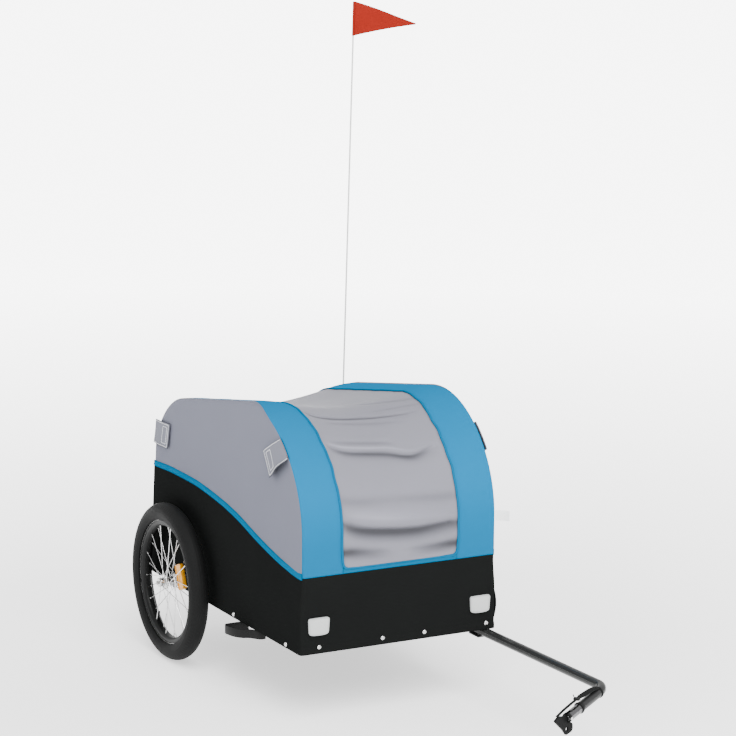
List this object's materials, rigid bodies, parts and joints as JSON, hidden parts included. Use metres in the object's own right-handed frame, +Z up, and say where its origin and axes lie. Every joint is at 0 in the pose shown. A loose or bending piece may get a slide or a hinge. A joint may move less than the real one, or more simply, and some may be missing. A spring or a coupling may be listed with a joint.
{
  "type": "bike_trailer",
  "caption": "Two-wheeled covered child bike trailer with an arched cloth cover, front flap door, black lower body, side tow bar with hitch, wheel guards and a pennant on a whip.",
  "frame": {"origin": "On the ground, midway between the two tyres, directly below the axle line.", "axes": "+X to the trailer's right in the front view (the tow bar's side), -Y is the direction of travel, +Z up."},
  "size_m": [0.7521, 1.4619, 1.6361],
  "materials": {
    "steel": "satin bare metal",
    "black_paint": "glossy black powder coat",
    "black_plastic": "matte moulded",
    "white_plastic": "smooth white",
    "orange_plastic": "clear ribbed reflector",
    "black_cloth": "coated black weave",
    "grey_cloth": "fine grey weave",
    "blue_cloth": "fine sky-blue weave",
    "red_cloth": "plain red nylon",
    "rubber": "dull black rubber",
    "board": "matte black board"
  },
  "bodies": {
    "trailer_frame": {"base_rail_left": "steel", "base_rail_right": "steel", "base_crossbar_front": "steel", "base_crossbar_rear": "steel", "side_hoop_left": "steel", "side_hoop_right": "steel", "roof_crossbar": "steel", "floor_board": "board", "axle_receiver_left": "steel", "axle_receiver_right": "steel", "wheel_guard_left": "black_paint", "wheel_guard_right": "black_paint", "tow_bracket": "black_paint", "tow_pivot_pin": "steel", "flag_socket": "black_plastic", "front_panel": "black_cloth", "rear_panel": "black_cloth", "lower_panel_left": "black_cloth", "lower_panel_right": "black_cloth", "side_piping_left": "blue_cloth", "side_piping_right": "blue_cloth", "side_panel_left": "grey_cloth", "side_panel_right": "grey_cloth", "side_band_left": "blue_cloth", "side_band_right": "blue_cloth", "roof_panel": "grey_cloth", "door_zip": "blue_cloth", "front_tab_left": "grey_cloth", "front_tab_right": "grey_cloth", "rear_tab_left": "grey_cloth", "rear_tab_right": "grey_cloth", "blank_label": "white_plastic", "strap_loop": "black_cloth", "front_reflector_left": "white_plastic", "front_reflector_right": "white_plastic", "left_axle": "steel", "right_axle": "steel"},
    "left_wheel": {"left_tyre": "rubber", "left_inner_tube": "rubber", "left_rim": "black_paint", "left_hub": "steel", "left_wheel_reflector": "orange_plastic"},
    "right_wheel": {"right_tyre": "rubber", "right_inner_tube": "rubber", "right_rim": "black_paint", "right_hub": "steel", "right_wheel_reflector": "orange_plastic"},
    "left_button": {"left_release_button": "black_plastic"},
    "right_button": {"right_release_button": "black_plastic"},
    "tow_arm": {"tow_bar": "black_paint", "tow_bar_collar": "black_plastic", "safety_strap": "black_cloth"},
    "hitch_swivel": {"hitch_barrel": "steel", "hitch_pin": "steel"},
    "hitch_tongue": {"hitch_plate": "black_paint"},
    "door_flap": {"front_door": "grey_cloth"},
    "flag_staff": {"flag_pole": "white_plastic", "flag": "red_cloth"}
  },
  "joints": [
    {"name": "left_wheel_spin", "type": "hinge", "parent": "trailer_frame", "child": "left_wheel", "pos_m": [-0.305, 0, 0.2], "axis": [1, 0, 0], "continuous": true},
    {"name": "right_wheel_spin", "type": "hinge", "parent": "trailer_frame", "child": "right_wheel", "pos_m": [0.305, 0, 0.2], "axis": [1, 0, 0], "continuous": true},
    {"name": "left_button_press", "type": "slide", "parent": "trailer_frame", "child": "left_button", "axis": [1, 0, 0], "range_m": [0, 0.003], "stiffness_N_per_m": 300, "springref_m": -0.001},
    {"name": "right_button_press", "type": "slide", "parent": "trailer_frame", "child": "right_button", "axis": [-1, 0, 0], "range_m": [0, 0.003], "stiffness_N_per_m": 300, "springref_m": -0.001},
    {"name": "tow_bar_fold", "type": "hinge", "parent": "trailer_frame", "child": "tow_arm", "pos_m": [0.2425, -0.608, 0.161], "axis": [0, 0, 1], "range_deg": [-90, 0]},
    {"name": "hitch_turn", "type": "hinge", "parent": "tow_arm", "child": "hitch_swivel", "pos_m": [0.15636, -1.19107, 0.14065], "axis": [-0.8806, -0.4403, -0.1754], "range_deg": [-60, 60]},
    {"name": "hitch_tilt", "type": "hinge", "parent": "hitch_swivel", "child": "hitch_tongue", "pos_m": [0.11409, -1.21221, 0.13223], "axis": [-0.4472, 0.8944, 0], "range_deg": [-15, 8]},
    {"name": "front_door_lift", "type": "hinge", "parent": "trailer_frame", "child": "door_flap", "pos_m": [0, -0.35489, 0.70901], "axis": [-1, 0, 0], "range_deg": [0, 100]},
    {"name": "flag_lift", "type": "slide", "parent": "trailer_frame", "child": "flag_staff", "axis": [0.025, 0, 0.9997], "range_m": [0, 0.06]}
  ]
}
